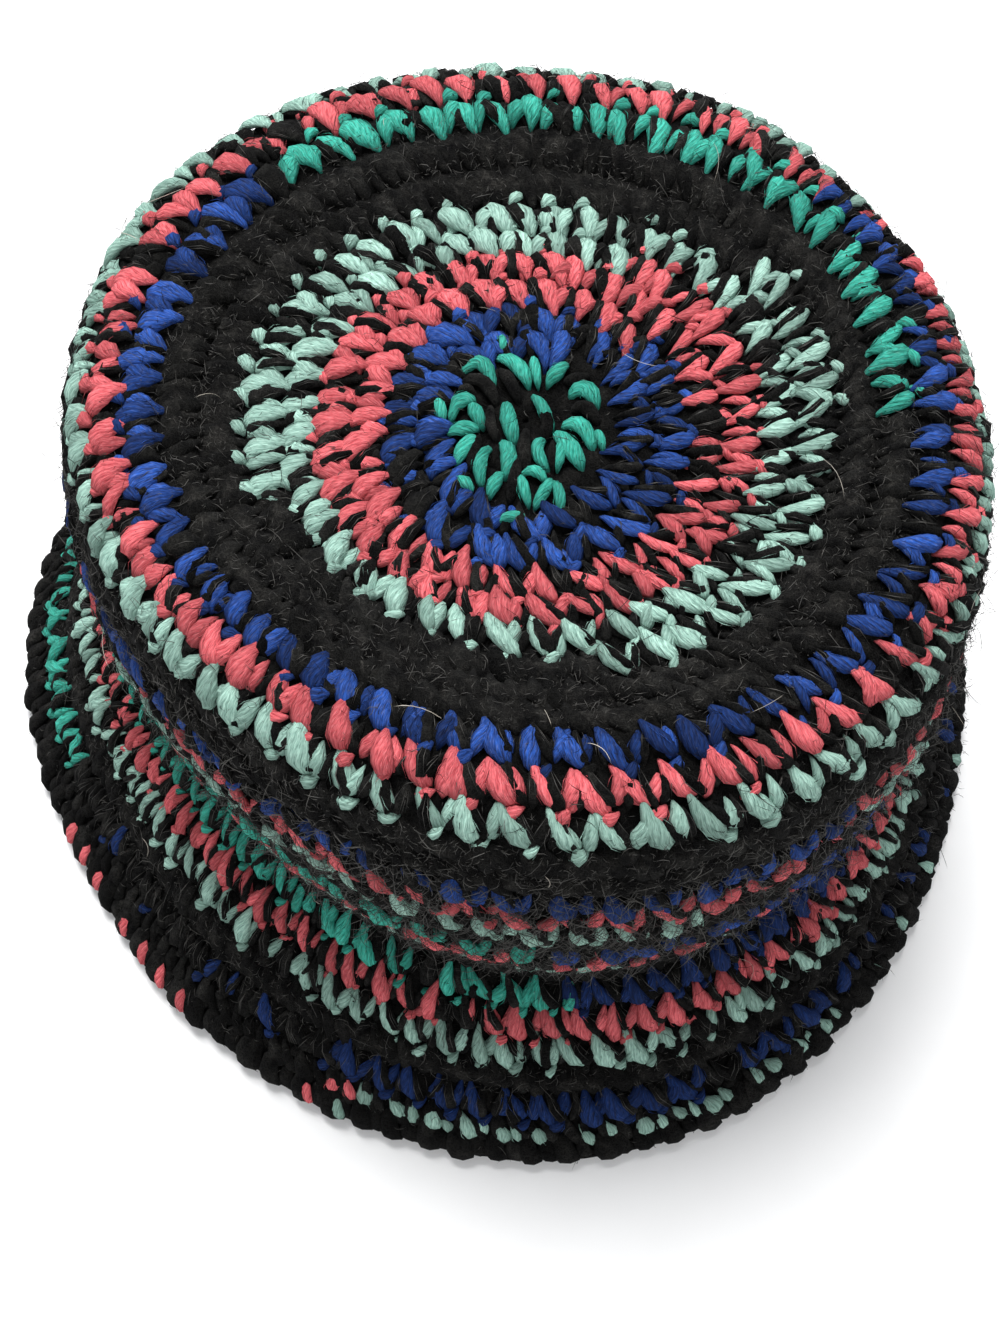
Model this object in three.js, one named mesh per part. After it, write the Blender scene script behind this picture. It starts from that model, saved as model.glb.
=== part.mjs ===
// A crocheted bucket hat: a flat round top, a tall side that is a little wider than the head, and a
// short sloping brim. It is worked from the centre of the top outwards and down in one spiral, so
// every place on it is named by its round, counted from the centre, and by its angle about +Z.
// Units are millimetres, +Z is up, and the hat stands on the edge of its brim.
import * as THREE from 'three';

// Driving dimensions
const FABRIC = 6.5;          // thickness of single crochet in two strands of worsted yarn
const GAP = 0.4;             // clearance at the outer face between neighbouring pieces
const ROUND_DEPTH = 7.5;     // usual distance from one round of stitches to the next
const FACETS = 64;           // flats round the hat
const OVAL_AXIS = 45;        // degrees from the front (-Y) towards +X: the long way of the head
const LOBE_AXIS = 12;        // degrees from the front to the first of the brim's three soft lobes
const LEAN = 0.045;          // fall of the top towards the front, per millimetre

// The edging's section: how far its shoulder and its middle lie under the outer face, how far its
// nose stands out, how far it hangs below its middle, and the width of the flat that it stands on
const EDGING = { shoulder: 1.2, middle: 3.6, nose: 1.4, drop: 2.6, ahead: 0.3, foot: 3.5 };

// Where each piece starts and ends, in rounds from the centre
const ROUNDS = { centre: 0, ring: 2, top: 12, side: 15, waist: 22.5, edging: 29, end: 29.6 };

// Sections through the outer face. Height is measured from the centre of the top; oval and lobe
// are shares of the radius, and sideways shifts the section along +X.
const SECTIONS = [
  { round: 0, radius: 0, height: 0, oval: 0, lobe: 0, sideways: 0 },
  { round: 2, radius: 14, height: 0, oval: 0, lobe: 0, sideways: 0 },
  { round: 4, radius: 28, height: 0, oval: 0.01, lobe: 0.004, sideways: 0 },
  { round: 8, radius: 57.5, height: 2.4, oval: 0.022, lobe: 0.01, sideways: 0 },
  { round: 10, radius: 72, height: 6.8, oval: 0.03, lobe: 0.014, sideways: 0 },
  { round: 11, radius: 79.7, height: 8.2, oval: 0.034, lobe: 0.015, sideways: 0 },
  { round: 12, radius: 88.9, height: 6.4, oval: 0.037, lobe: 0.016, sideways: 0 },
  { round: 13, radius: 96.2, height: 0.7, oval: 0.038, lobe: 0.016, sideways: 0 },
  { round: 14, radius: 99.6, height: -7.5, oval: 0.038, lobe: 0.016, sideways: 0 },
  { round: 16, radius: 101.2, height: -24, oval: 0.04, lobe: 0.017, sideways: -0.8 },
  { round: 18, radius: 101.6, height: -41, oval: 0.044, lobe: 0.021, sideways: -1.6 },
  { round: 20, radius: 100.3, height: -57, oval: 0.047, lobe: 0.028, sideways: -2.6 },
  { round: 22.5, radius: 96, height: -77.5, oval: 0.045, lobe: 0.032, sideways: -4 },
  { round: 24, radius: 102.5, height: -86, oval: 0.038, lobe: 0.034, sideways: -4.6 },
  { round: 27, radius: 118, height: -100.8, oval: 0.025, lobe: 0.037, sideways: -5.6 },
  { round: 29.6, radius: 131, height: -113, oval: 0.014, lobe: 0.039, sideways: -6.5 },
];
const WAIST_HEIGHT = SECTIONS.find((section) => section.round === ROUNDS.waist).height;

// How steeply one column of the table changes at a row, per round
function slopeAt(index, column) {
  const before = SECTIONS[Math.max(index - 1, 0)];
  const after = SECTIONS[Math.min(index + 1, SECTIONS.length - 1)];
  return (after[column] - before[column]) / (after.round - before.round);
}

// The section at any round, on a smooth curve through the table's rows
function sectionAt(round) {
  let index = SECTIONS.length - 2;
  while (index > 0 && SECTIONS[index].round > round) index -= 1;
  const from = SECTIONS[index];
  const to = SECTIONS[index + 1];
  const span = to.round - from.round;
  const u = (round - from.round) / span;
  const section = {};
  for (const column of ['radius', 'height', 'oval', 'lobe', 'sideways']) {
    section[column] = (2 * u ** 3 - 3 * u ** 2 + 1) * from[column]
      + (u ** 3 - 2 * u ** 2 + u) * span * slopeAt(index, column)
      + (3 * u ** 2 - 2 * u ** 3) * to[column]
      + (u ** 3 - u ** 2) * span * slopeAt(index + 1, column);
  }
  return section;
}

// A profile point on the fabric: its section, moved `depth` in from the outer face
function profilePoint(round, depth) {
  const step = 0.001;
  const section = sectionAt(round);
  const ahead = sectionAt(Math.min(round + step, ROUNDS.end));
  const behind = sectionAt(Math.max(round - step, ROUNDS.centre));
  const along = new THREE.Vector2(ahead.radius - behind.radius, ahead.height - behind.height).normalize();
  const radius = section.radius + depth * along.y;
  const height = section.height - depth * along.x;
  return { ...section, radius: Math.max(radius, 0), height };
}

// A profile point turned to its place at an angle round the hat
function place(point, degrees) {
  const angle = THREE.MathUtils.degToRad(degrees);
  const oval = point.oval * Math.cos(2 * (angle - THREE.MathUtils.degToRad(OVAL_AXIS)));
  const lobe = point.lobe * Math.cos(3 * (angle - THREE.MathUtils.degToRad(LOBE_AXIS)));
  const radius = point.radius * (1 + oval + lobe);
  const y = -radius * Math.cos(angle);
  const lean = LEAN * THREE.MathUtils.clamp(1 - point.height / WAIST_HEIGHT, 0, 1);
  return new THREE.Vector3(point.sideways + radius * Math.sin(angle), y, point.height + lean * y);
}

// The closed solid swept round the hat by an outline of profile points, listed clockwise as seen
// with the axis on the left. A point of no radius is the tip where the outline meets the axis.
function sweep(outline) {
  const positions = [];
  const rows = outline.map((point) => {
    const first = positions.length / 3;
    const count = point.radius === 0 ? 1 : FACETS;
    for (let facet = 0; facet < count; facet += 1) {
      positions.push(...place(point, (360 * facet) / FACETS));
    }
    return { first, count };
  });
  const corner = (row, facet) => row.first + (facet % row.count);
  const indices = [];
  rows.forEach((row, index) => {
    const next = rows[(index + 1) % rows.length];
    for (let facet = 0; facet < FACETS; facet += 1) {
      const [a, b] = [corner(row, facet), corner(row, facet + 1)];
      const [c, d] = [corner(next, facet), corner(next, facet + 1)];
      if (a !== b) indices.push(a, c, b);
      if (c !== d) indices.push(b, c, d);
    }
  });
  const geometry = new THREE.BufferGeometry();
  geometry.setAttribute('position', new THREE.Float32BufferAttribute(positions, 3));
  geometry.setIndex(indices);
  geometry.computeVertexNormals();
  return geometry;
}

// The wall of fabric between two rounds, following both faces in `steps` stretches
function band(start, end, steps) {
  const outer = [];
  const inner = [];
  for (let step = 0; step <= steps; step += 1) {
    const round = start + ((end - start) * step) / steps;
    outer.push(profilePoint(round, 0));
    inner.unshift(profilePoint(round, FABRIC));
  }
  return [...outer, ...inner];
}

// The rounded cord of edging, flat underneath where the hat stands on it
function edgingOutline(start) {
  const outerTop = profilePoint(start, 0);
  const innerTop = profilePoint(start, FABRIC);
  const shoulder = profilePoint(ROUNDS.end, EDGING.shoulder);
  const middle = profilePoint(ROUNDS.end, EDGING.middle);
  const nose = { ...middle, radius: middle.radius + EDGING.nose };
  const floor = middle.height - EDGING.drop;
  const footOuter = { ...middle, radius: middle.radius + EDGING.ahead, height: floor };
  const footInner = { ...footOuter, radius: footOuter.radius - EDGING.foot };
  return [outerTop, shoulder, nose, footOuter, footInner, innerTop];
}

// Each piece but the last stops short of the next by the gap, here in rounds
const gapRounds = GAP / ROUND_DEPTH;

function piece(name, geometry, colour) {
  const material = new THREE.MeshStandardMaterial({ color: colour, roughness: 0.95, metalness: 0 });
  const mesh = new THREE.Mesh(geometry, material);
  mesh.name = name;
  return mesh;
}

const hat = new THREE.Group();
hat.add(
  piece('starting_ring', sweep(band(ROUNDS.centre, ROUNDS.ring - gapRounds, 2)), 0x2f9c84),
  piece('crown_top', sweep(band(ROUNDS.ring, ROUNDS.top - gapRounds, 10)), 0xd8565c),
  piece('crown_rim', sweep(band(ROUNDS.top, ROUNDS.side - gapRounds, 5)), 0xc9504f),
  piece('crown_side', sweep(band(ROUNDS.side, ROUNDS.waist - gapRounds, 7)), 0x23406f),
  piece('brim', sweep(band(ROUNDS.waist, ROUNDS.edging - gapRounds, 6)), 0x7fb3a4),
  piece('brim_edging', sweep(edgingOutline(ROUNDS.edging)), 0x161616),
);

// The frame's origin is under the middle of the hat, on the surface that it stands on
const bounds = new THREE.Box3().setFromObject(hat);
const middle = bounds.getCenter(new THREE.Vector3());
hat.position.set(-middle.x, -middle.y, -bounds.min.z);

export default hat;
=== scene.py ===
"""A crocheted bucket hat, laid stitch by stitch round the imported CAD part.

The hat is worked in one spiral of single crochet, from the middle of its top outwards and down, in
two yarns held together: a black one and one that changes colour along its length. A place on it is
named by its round, counted from the middle, and its angle from the front, counter-clockwise as seen
from above. Shapes are in millimetres from the middle of the top until a piece is made.
"""

import math

import bpy
import numpy as np
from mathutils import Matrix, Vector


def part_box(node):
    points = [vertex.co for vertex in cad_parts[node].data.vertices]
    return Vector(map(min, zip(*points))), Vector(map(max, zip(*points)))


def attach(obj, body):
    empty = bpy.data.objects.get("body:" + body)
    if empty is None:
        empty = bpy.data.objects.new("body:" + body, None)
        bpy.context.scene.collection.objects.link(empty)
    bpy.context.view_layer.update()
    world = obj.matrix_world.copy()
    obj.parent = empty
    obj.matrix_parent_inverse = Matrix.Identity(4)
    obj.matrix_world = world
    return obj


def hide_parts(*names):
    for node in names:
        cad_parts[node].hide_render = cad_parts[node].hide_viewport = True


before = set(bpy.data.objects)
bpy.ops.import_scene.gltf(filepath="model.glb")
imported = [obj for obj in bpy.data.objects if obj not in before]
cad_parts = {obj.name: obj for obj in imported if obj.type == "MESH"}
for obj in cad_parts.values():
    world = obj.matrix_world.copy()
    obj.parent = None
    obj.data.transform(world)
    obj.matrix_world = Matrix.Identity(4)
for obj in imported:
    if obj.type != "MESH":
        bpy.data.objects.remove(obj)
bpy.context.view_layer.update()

SEED = 7
random = np.random.default_rng(SEED)
MM = 0.001

# ---- the hat's shape

# Sections of the fabric's outer face, as in the CAD. Height is from the middle of the top, oval and
# lobe are shares of the radius, and sideways is along +X
SECTIONS = np.array([
    # round, radius, height, oval, lobe, sideways
    (0, 0, 0, 0, 0, 0),
    (2, 14, 0, 0, 0, 0),
    (4, 28, 0, 0.01, 0.004, 0),
    (8, 57.5, 2.4, 0.022, 0.01, 0),
    (10, 72, 6.8, 0.03, 0.014, 0),
    (11, 79.7, 8.2, 0.034, 0.015, 0),
    (12, 88.9, 6.4, 0.037, 0.016, 0),
    (13, 96.2, 0.7, 0.038, 0.016, 0),
    (14, 99.6, -7.5, 0.038, 0.016, 0),
    (16, 101.2, -24, 0.04, 0.017, -0.8),
    (18, 101.6, -41, 0.044, 0.021, -1.6),
    (20, 100.3, -57, 0.047, 0.028, -2.6),
    (22.5, 96, -77.5, 0.045, 0.032, -4),
    (24, 102.5, -86, 0.038, 0.034, -4.6),
    (27, 118, -100.8, 0.025, 0.037, -5.6),
    (29.6, 131, -113, 0.014, 0.039, -6.5),
])
KNOTS = SECTIONS[:, 0]
VALUES = SECTIONS[:, 1:]
BEFORE = np.maximum(np.arange(len(KNOTS)) - 1, 0)
AFTER = np.minimum(np.arange(len(KNOTS)) + 1, len(KNOTS) - 1)
SLOPES = (VALUES[AFTER] - VALUES[BEFORE]) / (KNOTS[AFTER] - KNOTS[BEFORE])[:, None]
OVAL_AXIS = math.radians(45)  # the long way of the head
LOBE_AXIS = math.radians(12)  # the first of the brim's three soft lobes
LEAN = 0.045  # fall of the top towards the front
WAIST_HEIGHT = -77.5  # nothing leans from here down
INNERMOST = 0.1  # the starting ring's hole, in rounds

# Where each piece of the hat starts, in rounds from the middle
REGIONS = [
    ("starting_ring", 0.0), ("crown_top", 2.0), ("crown_rim", 12.0),
    ("crown_side", 15.0), ("brim", 22.5), ("brim_edging", 29.0),
]
REGION_NAMES, REGION_STARTS = zip(*REGIONS)
EDGING = REGION_NAMES.index("brim_edging")
LAST_ROUND = 29.6  # where the fabric ends

# The middle of the top, and of the starting ring, in the part's frame, in mm
ring_low, ring_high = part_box("starting_ring")
ring_reach = (ring_high.y - ring_low.y) / 2
TOP_MIDDLE = np.array([
    (ring_low.x + ring_high.x) / 2 / MM,
    (ring_low.y + ring_high.y) / 2 / MM,
    (ring_high.z - LEAN * ring_reach) / MM,
])

# Where the fabric is pulled out further than the sections say: the rounds over which it comes, stays
# and goes, the angles in degrees, and how far it is at each of them, in mm
SWELLINGS = [
    # Round the back of the rim
    ((10, 12.5, 15, 19), (125, 150, 172, 188, 210, 235, 262), (0, 2.6, 0.5, 0.3, 2.3, 2.3, 0)),
    # At the front left of the brim
    ((23.5, 27, 30, 40), (298, 320, 338, 352), (0, 3, 1.5, 0)),
]


def unit(vectors):
    """The same directions with length one."""
    return vectors / np.linalg.norm(vectors, axis=-1, keepdims=True)


def section_at(rounds):
    """The table's columns at these rounds, on a smooth curve through them, and their slopes."""
    index = np.clip(np.searchsorted(KNOTS, rounds, side="right") - 1, 0, len(KNOTS) - 2)
    span = (KNOTS[index + 1] - KNOTS[index])[..., None]
    u = (rounds - KNOTS[index])[..., None] / span
    start, end = VALUES[index], VALUES[index + 1]
    leaving, arriving = SLOPES[index] * span, SLOPES[index + 1] * span
    value = (2 * u**3 - 3 * u**2 + 1) * start + (u**3 - 2 * u**2 + u) * leaving
    value = value + (3 * u**2 - 2 * u**3) * end + (u**3 - u**2) * arriving
    slope = 6 * (u**2 - u) * (start - end) + (3 * u**2 - 4 * u + 1) * leaving
    slope = (slope + (3 * u**2 - 2 * u) * arriving) / span
    return value, slope


def swelling(rounds, degrees):
    """How far the fabric is pulled out at these rounds and angles, in mm."""
    pulled = 0
    for fade, angles, sizes in SWELLINGS:
        share = np.interp(rounds, fade, (0, 1, 1, 0))
        pulled = pulled + share * np.interp(degrees % 360, angles, sizes)
    return pulled


def place(rounds, degrees, lift):
    """Points at these rounds and angles, `lift` mm out from the fabric's outer face."""
    value, slope = section_at(np.maximum(rounds, INNERMOST))
    radius, height, oval, lobe, sideways = np.moveaxis(value, -1, 0)
    run, rise = np.moveaxis(unit(slope[..., :2]), -1, 0)
    radius = radius - lift * rise
    height = height + lift * run
    angle = np.radians(degrees)
    oval = oval * np.cos(2 * (angle - OVAL_AXIS))
    lobe = lobe * np.cos(3 * (angle - LOBE_AXIS))
    radius = radius * (1 + oval + lobe) + swelling(rounds, degrees)
    x = sideways + radius * np.sin(angle)
    y = -radius * np.cos(angle)
    lean = LEAN * np.clip(1 - height / WAIST_HEIGHT, 0, 1)
    return np.stack([x, y, height + lean * y], -1)


def surface(rounds, degrees, lift):
    """The same points, and the directions out of the fabric there."""
    points = place(rounds, degrees, lift)
    return points, unit(place(rounds, degrees, lift + 1) - points)


# ---- the spiral and its colours

FIRST_ANGLE = 125.0  # where the spiral's first stitch is, in degrees
BRIM_FROM = 23.6  # the turn at which the brim starts
LAST_TURN = 30.0  # where the rows end and the edging begins
OUTERMOST = 29.5  # the round at which the last row tucks in under the edging
USUAL_ROW = 8.3  # usual distance from one row to the next, in mm
USUAL_PITCH = 9.0  # and from one stitch to the next
SINK = 1.2  # how far the stitches' usual height lies under the outer face, in mm

# Rounds on the sections table reached after so many turns: the side's rows are a little deeper
TURNS_TO_ROUNDS = np.array([
    # turns, rounds
    (0, 0), (12.65, 12.65), (24.65, 23.65), (34, 33),
])

# Stitches in a turn: six more each turn on the top, even down the side, and more on the brim
STITCHES_IN_TURN = np.array([
    # turns, stitches
    (0, 3.5), (10.6, 66.7), (23.5, 66.7), (24.2, 84), (24.9, 94), (31, 96),
])

# The turns at which the changing yarn takes each colour. They come round in the same order each
# time, and the second time there is only some mint
COLOUR_ORDER = ["teal", "blue", "coral", "mint", "black"]
YARN_CHANGES = np.array([
    (0, 2, 4, 6.05, 7.46),
    (7.69, 7.69, 7.69, 7.69, 8),
    (9.89, 10.26, 11.01, 12, 13),
    (14.86, 15.06, 15.76, 16.76, 17.7),
    (19.3, 19.65, 20.35, 21.4, 22.55),
    (24.39, 24.67, 25.3, 26.15, 26.95),
    (28.2, 28.45, 28.98, 29.6, 40),
])
YARNS = ["teal", "coral", "blue", "mint", "black"]
BLUE = YARNS.index("blue")
BLACK = YARNS.index("black")
FUZZ = len(YARNS)  # the number of the grey fuzz, where the others are yarns

# How far the rows stray from an even spiral, in rounds, as the hand pulled them about
DRIFT_TURNS = np.array([2, 5, 7.5, 11, 14.5])
DRIFT = np.array([
    # degrees, then how far they stray there at each of these turns
    (0, 0.7, 0.58, 0.15, -0.5, -0.65),
    (30, 0.3, 0.57, 0.08, -0.17, -0.47),
    (60, 0, 0.44, 0.05, 0.22, -0.17),
    (90, 0, -0.03, 0.04, 0.22, 0.07),
    (120, 0, -0.2, 0.06, 0.45, 0.15),
    (150, 0, -0.15, -0.25, 0.2, 0.1),
    (180, 0, 0, -0.45, 0.06, 0.01),
    (210, 0, -0.07, -0.41, -0.05, -0.05),
    (240, 0, -0.2, -0.3, -0.1, -0.1),
    (270, 0, -0.17, -0.28, 0.12, -0.23),
    (300, 0, 0.3, 0.02, 0.12, -0.43),
    (330, 0.45, 0.65, 0.12, -0.32, -0.62),
])


def drift(turns, degrees):
    """How far a row strays from an even spiral, in rounds."""
    turns, degrees = np.broadcast_arrays(turns, degrees)
    by_turn = [np.interp(degrees, DRIFT[:, 0], column, period=360) for column in DRIFT[:, 1:].T]
    ahead = np.clip(np.searchsorted(DRIFT_TURNS, turns), 1, len(DRIFT_TURNS) - 1)
    low, high = DRIFT_TURNS[ahead - 1], DRIFT_TURNS[ahead]
    share = np.clip((turns - low) / (high - low), 0, 1)
    share = share * share * (3 - 2 * share)
    before = np.choose(ahead - 1, by_turn)
    after = np.choose(ahead, by_turn)
    return before + (after - before) * share


def round_at(turns, degrees):
    """The round on the sections table at this turn and angle of the spiral."""
    return np.interp(turns, *TURNS_TO_ROUNDS.T) + drift(turns, degrees)


def yarn_at(turns):
    """The number of the changing yarn's colour at each turn."""
    order = np.array([YARNS.index(yarn) for yarn in COLOUR_ORDER])
    change = np.searchsorted(YARN_CHANGES.ravel(), turns, side="right") - 1
    return order[change % len(order)]


def region_of(rounds):
    """The number of the region of the hat that each round is in."""
    return np.searchsorted(REGION_STARTS, rounds, side="right") - 1


def lay_stitches():
    """The turn at which each stitch starts, one after another along the spiral."""
    turns = [0.0]
    while turns[-1] < LAST_TURN:
        turns.append(turns[-1] + 1 / np.interp(turns[-1], *STITCHES_IN_TURN.T))
    return np.array(turns[:-1])


TURNS = lay_stitches()
STITCHES = len(TURNS)
PER_TURN = np.interp(TURNS, *STITCHES_IN_TURN.T)
YARN = yarn_at(TURNS)
START_ANGLE = FIRST_ANGLE + 360 * TURNS
REGION = region_of(round_at(TURNS + 0.5, START_ANGLE))  # by the middle of the row

# Each stitch's start, and its distances to the next stitch and the next row, in mm
START = place(round_at(TURNS, START_ANGLE), START_ANGLE, 0)
NEXT_ANGLE = START_ANGLE + 360 / PER_TURN
PITCH = np.linalg.norm(place(round_at(TURNS, NEXT_ANGLE), NEXT_ANGLE, 0) - START, axis=1)
ROW = np.linalg.norm(place(round_at(TURNS + 1, START_ANGLE), START_ANGLE, 0) - START, axis=1)

FRONT_MIDDLE = 20  # degrees
LEFT_MIDDLE = 265
RIM_TURN = 11.3  # the middle of the rim, where the left is plumper still,
RIM_SPREAD = 1.6  # and how far that spreads, in turns


def nearness(middle):
    """How near each stitch is to this angle: 1 there, and 0 on the far side of the hat."""
    return 0.5 + 0.5 * np.cos(np.radians(START_ANGLE - middle))


# How wide the strands are, as a share of the usual: the stitches lie flat and open at the front, and
# are plumpest at the left
FRONT = nearness(FRONT_MIDDLE)
LEFT = nearness(LEFT_MIDDLE)
LEFT_RIM = LEFT * np.exp(-((TURNS - RIM_TURN) / RIM_SPREAD) ** 2)
CROWN_FULLNESS = 1.24 - 0.3 * FRONT + 0.26 * LEFT
BRIM_FULLNESS = 1.08
FULLNESS = np.where(TURNS < BRIM_FROM, CROWN_FULLNESS, BRIM_FULLNESS) + 0.12 * LEFT_RIM


def on_fabric(stitch, across, along, lift):
    """Points and outward directions by a stitch: `across` stitches along the row from its start,
    `along` rows out from its top, and `lift` mm out of the fabric."""
    turn = TURNS[stitch] + across / PER_TURN[stitch]
    degrees = FIRST_ANGLE + 360 * turn
    rounds = np.minimum(round_at(turn + along, degrees), OUTERMOST)
    return surface(rounds, degrees, lift - SINK)


# ---- strands of yarn

TWIST = 0.5  # how far the fibres lean round a strand, per mm along it
APART = 1.25  # how far two twisted strands lie either side of their middle, in mm
HEIGHT_APART = 0.55  # and how far one passes over the other
ROLL_ALONG = 0.9  # how far they turn round each other along a stitch, in radians
BRIM_BLUE_LIT = 0.15  # how bright the brightest blue is on the brim, where it is nearly black
PATTERN_LENGTH = 900  # each strand's pattern starts somewhere in this length, in mm,
PATTERN_TURN = 0.37  # and is turned by this much for each mm of it

# A hand's small slips, as the spread of a bell curve
TURN_SLIP = math.radians(9)  # how far a strand is turned in the fabric
ACROSS_SLIP = 0.035  # how far it is out of place along the row, in stitches,
ALONG_SLIP = 0.055  # towards the next row, in rows,
LIFT_SLIP = 0.22  # and out of the fabric, in mm
LENGTH_SLIP = 0.08  # how much longer it is, as a share
WIDTH_SLIP = 0.13  # and how much wider
LEAST_WIDTH, MOST_WIDTH = 0.7, 1.35

STRETCH = 1.04  # how much longer strands are than their key points say
KEPT_LENGTH = 0.6  # how far they keep their usual length in a deeper row: 1 is fully
WIDTH_FOLLOWS = 0.4  # how far their width follows the stitch's: 1 is fully

# A wisp of loose fibre: its radius and its tip's rise, in mm, and the share of that rise at each of
# the three rings of the strand that it passes
WISP_RADIUS = (0.06, 0.1)
WISP_RISE = (0.15, 0.8)
WISP_SHARES = (-0.1, 0.6, 1.0)

strands = []  # every batch of strands, sorted into pieces at the end


def slips(*size):
    """Random slips with a spread of one, none of them past two."""
    return random.normal(size=size).clip(-2, 2)


def curve_through(keys, count):
    """A smooth curve through a few key points, at `count` even steps."""
    keys = np.array(keys, float)
    fit = np.polyfit(np.linspace(0, 1, len(keys)), keys, len(keys) - 1)
    steps = np.linspace(0, 1, count)
    return np.stack([np.polyval(column, steps) for column in fit.T], -1)


def leaf(count, blunt, lean):
    """A strand's width at each ring, as a share: the more it leans, the further past the middle it is
    fullest, and the lower `blunt` is, the blunter its tips."""
    return np.sin(np.pi * np.linspace(0, 1, count) ** lean) ** blunt


def tube_faces(rings, sides):
    """Triangles of a tube with a point at each end, and each corner's ring and side."""
    around = [(side, side + 1) for side in range(sides)]
    grid = [((0, a), (1, a), (1, b)) for a, b in around]
    for ring in range(1, rings - 2):
        for a, b in around:
            grid.append(((ring, a), (ring + 1, a), (ring + 1, b)))
            grid.append(((ring, a), (ring + 1, b), (ring, b)))
    grid += [((rings - 2, a), (rings - 1, a), (rings - 2, b)) for a, b in around]
    grid = np.array(grid)
    ring, side = grid[..., 0], grid[..., 1]
    vertex = 1 + (ring - 1) * sides + side % sides
    vertex = np.where(ring == 0, 0, vertex)
    vertex = np.where(ring == rings - 1, 1 + (rings - 2) * sides, vertex)
    return vertex, ring, side


def frame_along(centre, normal):
    """The directions across each strand and up from its back, at every ring."""
    tangent = unit(np.gradient(centre, axis=1))
    across = unit(np.cross(tangent, normal))
    return across, np.cross(across, tangent)


def add_strands(centre, normal, half_width, half_height, sides, region, colour, lumps=0.0, lit=1.0):
    """Keeps a batch of closed strands, each a flattened tube along its own row of centre points.
    `lumps` is how uneven they are, and `lit` how bright the brightest, both as shares."""
    count, rings = centre.shape[:2]
    across, up = frame_along(centre, normal)
    angle = 2 * np.pi * np.arange(sides) / sides
    uneven = 1 + lumps * slips(count, rings - 2, 1)
    uneven = uneven + 0.5 * lumps * slips(count, rings - 2, sides)
    ring_points = (
        centre[:, 1:-1, None]
        + across[:, 1:-1, None] * (half_width[:, 1:-1, None] * np.cos(angle) * uneven)[..., None]
        + up[:, 1:-1, None] * (half_height[:, 1:-1, None] * np.sin(angle) * uneven)[..., None]
    )
    points = np.concatenate([centre[:, :1], ring_points.reshape(count, -1, 3), centre[:, -1:]], 1)
    faces, ring, side = tube_faces(rings, sides)
    steps = np.linalg.norm(np.diff(centre, axis=1), axis=2)
    length = np.concatenate([np.zeros((count, 1)), np.cumsum(steps, 1)], 1)
    girth = np.pi * (half_width.max(1) + half_height.max(1))
    start = random.uniform(0, PATTERN_LENGTH, (count, 1, 1))
    u = length[:, ring] + start
    v = side[None] / sides * girth[:, None, None] + TWIST * length[:, ring] + PATTERN_TURN * start
    tone = random.uniform(0, 1, count) * lit
    strands.append({
        "points": points,
        "faces": faces,
        "uv": np.stack([u, v], -1),
        "tone": tone,
        "region": np.broadcast_to(region, count),
        "colour": np.broadcast_to(colour, count),
    })


def add_wisps(centre, normal, half_width, half_height, region, colour):
    """One loose fibre on each strand: it leaves the strand's back and lies along it."""
    count, rings = centre.shape[:2]
    across, up = frame_along(centre, normal)
    strand = np.arange(count)
    first = random.integers(1, rings - 3, count)
    side = random.uniform(0, np.pi, (count, 1))
    rise = random.uniform(*WISP_RISE, (count, 1))
    path = []
    for step, share in enumerate(WISP_SHARES):
        ring = first + step
        to_side = half_width[strand, ring, None] + share * rise
        to_back = half_height[strand, ring, None] + share * rise
        out_across = across[strand, ring] * to_side * np.cos(side)
        out_up = up[strand, ring] * to_back * np.sin(side)
        path.append(centre[strand, ring] + out_across + out_up)
    centre = np.stack(path, 1)
    width = random.uniform(*WISP_RADIUS, (count, 1)) * np.array([0, 1, 0])
    add_strands(centre, normal[:, :3], width, width, 3, region, colour)


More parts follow.
